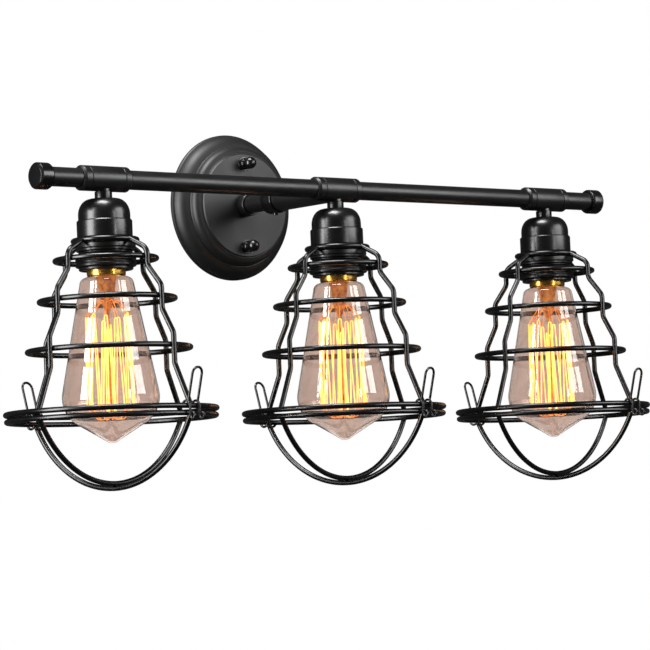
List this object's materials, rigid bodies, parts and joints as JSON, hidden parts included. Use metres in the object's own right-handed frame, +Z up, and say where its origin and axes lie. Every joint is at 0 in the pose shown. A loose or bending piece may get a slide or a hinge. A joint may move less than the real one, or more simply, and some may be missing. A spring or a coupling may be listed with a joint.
{
  "type": "vanity light bar",
  "caption": "Wall-mounted vanity light: a round canopy and arm carry a horizontal bar with hanging sockets, tapered lamps and wire cages that open below.",
  "frame": {"origin": "centre of the canopy's back face, on the wall", "axes": "+Y into the wall, +X along the bar, +Z up"},
  "size_m": [0.5406, 0.1975, 0.2596],
  "materials": {
    "black_steel": "satin black powder coat",
    "gloss_black": "gloss black enamel",
    "wire_black": "semi-gloss black lacquer",
    "phenolic": "moulded black phenolic",
    "zinc_steel": "zinc plated",
    "ground_green": "green dyed zinc",
    "connector_plastic": "moulded",
    "nickel_brass": "nickel plated",
    "lead_insulation": "flexible insulation",
    "tinted_glass": "clear, faint amber tint",
    "lamp_brass": "bright",
    "solder": "solder on glass insulator",
    "filament": "glowing carbon filament on a glass stem"
  },
  "bodies": {
    "fixture": {"canopy": "black_steel", "wall_bracket": "zinc_steel", "mounting_studs": "zinc_steel", "cap_nut_washers": "black_steel", "cap_nuts": "gloss_black", "ground_screw": "ground_green", "wire_connectors": "connector_plastic", "arm_tube": "black_steel", "arm_base_collar": "black_steel", "arm_lock_collar": "black_steel", "collar_set_screw": "black_steel", "arm_sleeve": "black_steel", "left_coupler": "black_steel", "middle_coupler": "black_steel", "right_coupler": "black_steel", "left_bar_tube": "black_steel", "right_bar_tube": "black_steel", "left_stub_tube": "black_steel", "right_stub_tube": "black_steel", "left_end_cap": "black_steel", "right_end_cap": "black_steel", "nipples": "black_steel", "lock_nuts": "zinc_steel", "ring_nuts": "phenolic", "screw_shells": "nickel_brass", "centre_contacts": "nickel_brass", "hinge_clips": "wire_black", "left_leads": "lead_insulation", "middle_leads": "lead_insulation", "right_leads": "lead_insulation", "left_socket_cap": "gloss_black", "left_socket_shell": "gloss_black", "left_lampholder": "phenolic", "left_cage": "wire_black", "middle_socket_cap": "gloss_black", "middle_socket_shell": "gloss_black", "middle_lampholder": "phenolic", "middle_cage": "wire_black", "right_socket_cap": "gloss_black", "right_socket_shell": "gloss_black", "right_lampholder": "phenolic", "right_cage": "wire_black"},
    "left_guard": {"left_guard": "wire_black"},
    "left_latch": {"left_latch_clip": "wire_black"},
    "left_bulb_travel": {"left_bulb_contact": "solder"},
    "left_bulb": {"left_bulb_base": "lamp_brass", "left_bulb_glass": "tinted_glass", "left_bulb_filament": "filament"},
    "middle_guard": {"middle_guard": "wire_black"},
    "middle_latch": {"middle_latch_clip": "wire_black"},
    "middle_bulb_travel": {"middle_bulb_contact": "solder"},
    "middle_bulb": {"middle_bulb_base": "lamp_brass", "middle_bulb_glass": "tinted_glass", "middle_bulb_filament": "filament"},
    "right_guard": {"right_guard": "wire_black"},
    "right_latch": {"right_latch_clip": "wire_black"},
    "right_bulb_travel": {"right_bulb_contact": "solder"},
    "right_bulb": {"right_bulb_base": "lamp_brass", "right_bulb_glass": "tinted_glass", "right_bulb_filament": "filament"}
  },
  "joints": [
    {"name": "left_guard_hinge", "type": "hinge", "parent": "fixture", "child": "left_guard", "pos_m": [-0.21332, -0.05361, -0.159], "axis": [0.9781, 0.2079, 0], "range_deg": [0, 85]},
    {"name": "left_latch_pivot", "type": "hinge", "parent": "fixture", "child": "left_latch", "pos_m": [-0.18456, -0.18893, -0.1543], "axis": [-0.9781, -0.2079, 0], "range_deg": [0, 32], "stiffness_Nm_per_rad": 0.01, "springref_deg": -11.46},
    {"name": "left_bulb_travel", "type": "slide", "parent": "fixture", "child": "left_bulb_travel", "axis": [0, 0, -1], "range_m": [0, 0.018]},
    {"name": "left_bulb_turn", "type": "hinge", "parent": "left_bulb_travel", "child": "left_bulb", "pos_m": [-0.199, -0.121, -0.05], "axis": [0, 0, -1], "range_deg": [0, 1785.12]},
    {"name": "middle_guard_hinge", "type": "hinge", "parent": "fixture", "child": "middle_guard", "pos_m": [-0.01432, -0.05361, -0.159], "axis": [0.9781, 0.2079, 0], "range_deg": [0, 85]},
    {"name": "middle_latch_pivot", "type": "hinge", "parent": "fixture", "child": "middle_latch", "pos_m": [0.01444, -0.18893, -0.1543], "axis": [-0.9781, -0.2079, 0], "range_deg": [0, 32], "stiffness_Nm_per_rad": 0.01, "springref_deg": -11.46},
    {"name": "middle_bulb_travel", "type": "slide", "parent": "fixture", "child": "middle_bulb_travel", "axis": [0, 0, -1], "range_m": [0, 0.018]},
    {"name": "middle_bulb_turn", "type": "hinge", "parent": "middle_bulb_travel", "child": "middle_bulb", "pos_m": [0, -0.121, -0.05], "axis": [0, 0, -1], "range_deg": [0, 1785.12]},
    {"name": "right_guard_hinge", "type": "hinge", "parent": "fixture", "child": "right_guard", "pos_m": [0.18468, -0.05361, -0.159], "axis": [0.9781, 0.2079, 0], "range_deg": [0, 85]},
    {"name": "right_latch_pivot", "type": "hinge", "parent": "fixture", "child": "right_latch", "pos_m": [0.21344, -0.18893, -0.1543], "axis": [-0.9781, -0.2079, 0], "range_deg": [0, 32], "stiffness_Nm_per_rad": 0.01, "springref_deg": -11.46},
    {"name": "right_bulb_travel", "type": "slide", "parent": "fixture", "child": "right_bulb_travel", "axis": [0, 0, -1], "range_m": [0, 0.018]},
    {"name": "right_bulb_turn", "type": "hinge", "parent": "right_bulb_travel", "child": "right_bulb", "pos_m": [0.199, -0.121, -0.05], "axis": [0, 0, -1], "range_deg": [0, 1785.12]}
  ],
  "couplings": [
    {"joint": "left_bulb_travel", "follows": "left_bulb_turn", "m_per_rad": 0.00057773},
    {"joint": "middle_bulb_travel", "follows": "middle_bulb_turn", "m_per_rad": 0.00057773},
    {"joint": "right_bulb_travel", "follows": "right_bulb_turn", "m_per_rad": 0.00057773}
  ]
}
